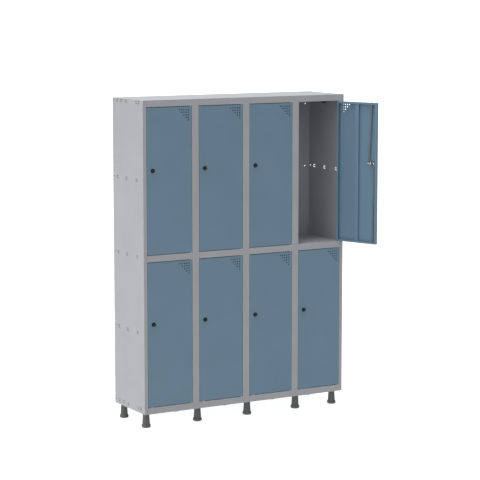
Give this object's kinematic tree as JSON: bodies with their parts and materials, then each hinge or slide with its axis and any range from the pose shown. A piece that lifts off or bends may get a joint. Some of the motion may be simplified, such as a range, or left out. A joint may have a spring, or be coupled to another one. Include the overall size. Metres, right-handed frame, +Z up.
{
  "type": "school locker",
  "caption": "Two-tier steel locker with columns of vented, right-hinged doors, a turn knob driving two lock rods in each door, coat hooks and round raised feet.",
  "frame": {"origin": "On the floor, under the middle of the bounding box of the whole locker as stored, with its upper right door standing open. The cabinet's own middle is 40.9 mm towards -X and 136.1 mm towards +Y from it.", "axes": "+X to the right as seen from the front, +Y from the doors to the back panel, +Z up."},
  "size_m": [1.4618, 0.6722, 1.945],
  "materials": {
    "cabinet_paint": "fine-textured light grey powder coat",
    "door_paint": "fine-textured grey-blue powder coat",
    "black_plastic": "moulded black plastic, satin",
    "foot_plastic": "moulded dark grey plastic, matte",
    "zinc_steel": "bright zinc plate",
    "rubber": "matte black rubber",
    "pale_nylon": "natural nylon"
  },
  "bodies": {
    "cabinet": {"left_side_panel": "cabinet_paint", "right_side_panel": "cabinet_paint", "back_panel_left": "cabinet_paint", "back_panel_right": "cabinet_paint", "top_panel": "cabinet_paint", "base_panel": "cabinet_paint", "partition_1": "cabinet_paint", "partition_2": "cabinet_paint", "partition_3": "cabinet_paint", "lower_floors": "cabinet_paint", "upper_floors": "cabinet_paint", "front_posts": "cabinet_paint", "front_rails": "cabinet_paint", "feet": "foot_plastic", "foot_studs": "zinc_steel", "foot_plates": "zinc_steel", "hinge_pins": "zinc_steel", "door_spacers": "pale_nylon", "coat_hooks": "black_plastic", "door_buffers": "rubber"},
    "door_1_lower": {"door_1_lower_panel": "door_paint", "door_1_lower_lock_case": "black_plastic"},
    "door_1_lower_knob": {"door_1_lower_turn_knob": "black_plastic"},
    "door_1_lower_up_rod": {"door_1_lower_rod_up": "zinc_steel"},
    "door_1_lower_down_rod": {"door_1_lower_rod_down": "zinc_steel"},
    "door_2_lower": {"door_2_lower_panel": "door_paint", "door_2_lower_lock_case": "black_plastic"},
    "door_2_lower_knob": {"door_2_lower_turn_knob": "black_plastic"},
    "door_2_lower_up_rod": {"door_2_lower_rod_up": "zinc_steel"},
    "door_2_lower_down_rod": {"door_2_lower_rod_down": "zinc_steel"},
    "door_3_lower": {"door_3_lower_panel": "door_paint", "door_3_lower_lock_case": "black_plastic"},
    "door_3_lower_knob": {"door_3_lower_turn_knob": "black_plastic"},
    "door_3_lower_up_rod": {"door_3_lower_rod_up": "zinc_steel"},
    "door_3_lower_down_rod": {"door_3_lower_rod_down": "zinc_steel"},
    "door_4_lower": {"door_4_lower_panel": "door_paint", "door_4_lower_lock_case": "black_plastic"},
    "door_4_lower_knob": {"door_4_lower_turn_knob": "black_plastic"},
    "door_4_lower_up_rod": {"door_4_lower_rod_up": "zinc_steel"},
    "door_4_lower_down_rod": {"door_4_lower_rod_down": "zinc_steel"},
    "door_1_upper": {"door_1_upper_panel": "door_paint", "door_1_upper_lock_case": "black_plastic"},
    "door_1_upper_knob": {"door_1_upper_turn_knob": "black_plastic"},
    "door_1_upper_up_rod": {"door_1_upper_rod_up": "zinc_steel"},
    "door_1_upper_down_rod": {"door_1_upper_rod_down": "zinc_steel"},
    "door_2_upper": {"door_2_upper_panel": "door_paint", "door_2_upper_lock_case": "black_plastic"},
    "door_2_upper_knob": {"door_2_upper_turn_knob": "black_plastic"},
    "door_2_upper_up_rod": {"door_2_upper_rod_up": "zinc_steel"},
    "door_2_upper_down_rod": {"door_2_upper_rod_down": "zinc_steel"},
    "door_3_upper": {"door_3_upper_panel": "door_paint", "door_3_upper_lock_case": "black_plastic"},
    "door_3_upper_knob": {"door_3_upper_turn_knob": "black_plastic"},
    "door_3_upper_up_rod": {"door_3_upper_rod_up": "zinc_steel"},
    "door_3_upper_down_rod": {"door_3_upper_rod_down": "zinc_steel"},
    "door_4_upper": {"door_4_upper_panel": "door_paint", "door_4_upper_lock_case": "black_plastic"},
    "door_4_upper_knob": {"door_4_upper_turn_knob": "black_plastic"},
    "door_4_upper_up_rod": {"door_4_upper_rod_up": "zinc_steel"},
    "door_4_upper_down_rod": {"door_4_upper_rod_down": "zinc_steel"}
  },
  "joints": [
    {"name": "door_1_lower_swing", "type": "hinge", "parent": "cabinet", "child": "door_1_lower", "pos_m": [-0.41592, -0.05928, 0.5635], "axis": [0, 0, 1], "range_deg": [0, 120]},
    {"name": "door_1_lower_turn", "type": "hinge", "parent": "door_1_lower", "child": "door_1_lower_knob", "pos_m": [-0.66772, -0.05138, 0.627], "axis": [0, -1, 0], "range_deg": [0, 90]},
    {"name": "door_1_lower_up_rod_pin", "type": "hinge", "parent": "door_1_lower_knob", "child": "door_1_lower_up_rod", "pos_m": [-0.64772, -0.05138, 0.627], "axis": [0, -1, 0], "range_deg": [-94, 0]},
    {"name": "door_1_lower_down_rod_pin", "type": "hinge", "parent": "door_1_lower_knob", "child": "door_1_lower_down_rod", "pos_m": [-0.68772, -0.05138, 0.627], "axis": [0, -1, 0], "range_deg": [-94, 0]},
    {"name": "door_2_lower_swing", "type": "hinge", "parent": "cabinet", "child": "door_2_lower", "pos_m": [-0.07092, -0.05928, 0.5635], "axis": [0, 0, 1], "range_deg": [0, 120]},
    {"name": "door_2_lower_turn", "type": "hinge", "parent": "door_2_lower", "child": "door_2_lower_knob", "pos_m": [-0.32272, -0.05138, 0.627], "axis": [0, -1, 0], "range_deg": [0, 90]},
    {"name": "door_2_lower_up_rod_pin", "type": "hinge", "parent": "door_2_lower_knob", "child": "door_2_lower_up_rod", "pos_m": [-0.30272, -0.05138, 0.627], "axis": [0, -1, 0], "range_deg": [-94, 0]},
    {"name": "door_2_lower_down_rod_pin", "type": "hinge", "parent": "door_2_lower_knob", "child": "door_2_lower_down_rod", "pos_m": [-0.34272, -0.05138, 0.627], "axis": [0, -1, 0], "range_deg": [-94, 0]},
    {"name": "door_3_lower_swing", "type": "hinge", "parent": "cabinet", "child": "door_3_lower", "pos_m": [0.27408, -0.05928, 0.5635], "axis": [0, 0, 1], "range_deg": [0, 120]},
    {"name": "door_3_lower_turn", "type": "hinge", "parent": "door_3_lower", "child": "door_3_lower_knob", "pos_m": [0.02228, -0.05138, 0.627], "axis": [0, -1, 0], "range_deg": [0, 90]},
    {"name": "door_3_lower_up_rod_pin", "type": "hinge", "parent": "door_3_lower_knob", "child": "door_3_lower_up_rod", "pos_m": [0.04228, -0.05138, 0.627], "axis": [0, -1, 0], "range_deg": [-94, 0]},
    {"name": "door_3_lower_down_rod_pin", "type": "hinge", "parent": "door_3_lower_knob", "child": "door_3_lower_down_rod", "pos_m": [0.00228, -0.05138, 0.627], "axis": [0, -1, 0], "range_deg": [-94, 0]},
    {"name": "door_4_lower_swing", "type": "hinge", "parent": "cabinet", "child": "door_4_lower", "pos_m": [0.61908, -0.05928, 0.5635], "axis": [0, 0, 1], "range_deg": [0, 120]},
    {"name": "door_4_lower_turn", "type": "hinge", "parent": "door_4_lower", "child": "door_4_lower_knob", "pos_m": [0.36728, -0.05138, 0.627], "axis": [0, -1, 0], "range_deg": [0, 90]},
    {"name": "door_4_lower_up_rod_pin", "type": "hinge", "parent": "door_4_lower_knob", "child": "door_4_lower_up_rod", "pos_m": [0.38728, -0.05138, 0.627], "axis": [0, -1, 0], "range_deg": [-94, 0]},
    {"name": "door_4_lower_down_rod_pin", "type": "hinge", "parent": "door_4_lower_knob", "child": "door_4_lower_down_rod", "pos_m": [0.34728, -0.05138, 0.627], "axis": [0, -1, 0], "range_deg": [-94, 0]},
    {"name": "door_1_upper_swing", "type": "hinge", "parent": "cabinet", "child": "door_1_upper", "pos_m": [-0.41592, -0.05928, 1.4715], "axis": [0, 0, 1], "range_deg": [0, 120]},
    {"name": "door_1_upper_turn", "type": "hinge", "parent": "door_1_upper", "child": "door_1_upper_knob", "pos_m": [-0.66772, -0.05138, 1.535], "axis": [0, -1, 0], "range_deg": [0, 90]},
    {"name": "door_1_upper_up_rod_pin", "type": "hinge", "parent": "door_1_upper_knob", "child": "door_1_upper_up_rod", "pos_m": [-0.64772, -0.05138, 1.535], "axis": [0, -1, 0], "range_deg": [-94, 0]},
    {"name": "door_1_upper_down_rod_pin", "type": "hinge", "parent": "door_1_upper_knob", "child": "door_1_upper_down_rod", "pos_m": [-0.68772, -0.05138, 1.535], "axis": [0, -1, 0], "range_deg": [-94, 0]},
    {"name": "door_2_upper_swing", "type": "hinge", "parent": "cabinet", "child": "door_2_upper", "pos_m": [-0.07092, -0.05928, 1.4715], "axis": [0, 0, 1], "range_deg": [0, 120]},
    {"name": "door_2_upper_turn", "type": "hinge", "parent": "door_2_upper", "child": "door_2_upper_knob", "pos_m": [-0.32272, -0.05138, 1.535], "axis": [0, -1, 0], "range_deg": [0, 90]},
    {"name": "door_2_upper_up_rod_pin", "type": "hinge", "parent": "door_2_upper_knob", "child": "door_2_upper_up_rod", "pos_m": [-0.30272, -0.05138, 1.535], "axis": [0, -1, 0], "range_deg": [-94, 0]},
    {"name": "door_2_upper_down_rod_pin", "type": "hinge", "parent": "door_2_upper_knob", "child": "door_2_upper_down_rod", "pos_m": [-0.34272, -0.05138, 1.535], "axis": [0, -1, 0], "range_deg": [-94, 0]},
    {"name": "door_3_upper_swing", "type": "hinge", "parent": "cabinet", "child": "door_3_upper", "pos_m": [0.27408, -0.05928, 1.4715], "axis": [0, 0, 1], "range_deg": [0, 120]},
    {"name": "door_3_upper_turn", "type": "hinge", "parent": "door_3_upper", "child": "door_3_upper_knob", "pos_m": [0.02228, -0.05138, 1.535], "axis": [0, -1, 0], "range_deg": [0, 90]},
    {"name": "door_3_upper_up_rod_pin", "type": "hinge", "parent": "door_3_upper_knob", "child": "door_3_upper_up_rod", "pos_m": [0.04228, -0.05138, 1.535], "axis": [0, -1, 0], "range_deg": [-94, 0]},
    {"name": "door_3_upper_down_rod_pin", "type": "hinge", "parent": "door_3_upper_knob", "child": "door_3_upper_down_rod", "pos_m": [0.00228, -0.05138, 1.535], "axis": [0, -1, 0], "range_deg": [-94, 0]},
    {"name": "door_4_upper_swing", "type": "hinge", "parent": "cabinet", "child": "door_4_upper", "pos_m": [0.61908, -0.05928, 1.4715], "axis": [0, 0, 1], "range_deg": [-111, 9]},
    {"name": "door_4_upper_turn", "type": "hinge", "parent": "door_4_upper", "child": "door_4_upper_knob", "pos_m": [0.70194, -0.29719, 1.535], "axis": [0.9336, 0.3584, 0], "range_deg": [0, 90]},
    {"name": "door_4_upper_up_rod_pin", "type": "hinge", "parent": "door_4_upper_knob", "child": "door_4_upper_up_rod", "pos_m": [0.69477, -0.27852, 1.535], "axis": [0.9336, 0.3584, 0], "range_deg": [-94, 0]},
    {"name": "door_4_upper_down_rod_pin", "type": "hinge", "parent": "door_4_upper_knob", "child": "door_4_upper_down_rod", "pos_m": [0.70911, -0.31586, 1.535], "axis": [0.9336, 0.3584, 0], "range_deg": [-94, 0]}
  ],
  "couplings": [
    {"joint": "door_1_lower_up_rod_pin", "follows": "door_1_lower_turn", "ratio": -1.0347},
    {"joint": "door_1_lower_down_rod_pin", "follows": "door_1_lower_turn", "ratio": -1.0263},
    {"joint": "door_2_lower_up_rod_pin", "follows": "door_2_lower_turn", "ratio": -1.0347},
    {"joint": "door_2_lower_down_rod_pin", "follows": "door_2_lower_turn", "ratio": -1.0263},
    {"joint": "door_3_lower_up_rod_pin", "follows": "door_3_lower_turn", "ratio": -1.0347},
    {"joint": "door_3_lower_down_rod_pin", "follows": "door_3_lower_turn", "ratio": -1.0263},
    {"joint": "door_4_lower_up_rod_pin", "follows": "door_4_lower_turn", "ratio": -1.0347},
    {"joint": "door_4_lower_down_rod_pin", "follows": "door_4_lower_turn", "ratio": -1.0263},
    {"joint": "door_1_upper_up_rod_pin", "follows": "door_1_upper_turn", "ratio": -1.0347},
    {"joint": "door_1_upper_down_rod_pin", "follows": "door_1_upper_turn", "ratio": -1.0263},
    {"joint": "door_2_upper_up_rod_pin", "follows": "door_2_upper_turn", "ratio": -1.0347},
    {"joint": "door_2_upper_down_rod_pin", "follows": "door_2_upper_turn", "ratio": -1.0263},
    {"joint": "door_3_upper_up_rod_pin", "follows": "door_3_upper_turn", "ratio": -1.0347},
    {"joint": "door_3_upper_down_rod_pin", "follows": "door_3_upper_turn", "ratio": -1.0263},
    {"joint": "door_4_upper_up_rod_pin", "follows": "door_4_upper_turn", "ratio": -1.0347},
    {"joint": "door_4_upper_down_rod_pin", "follows": "door_4_upper_turn", "ratio": -1.0263}
  ]
}
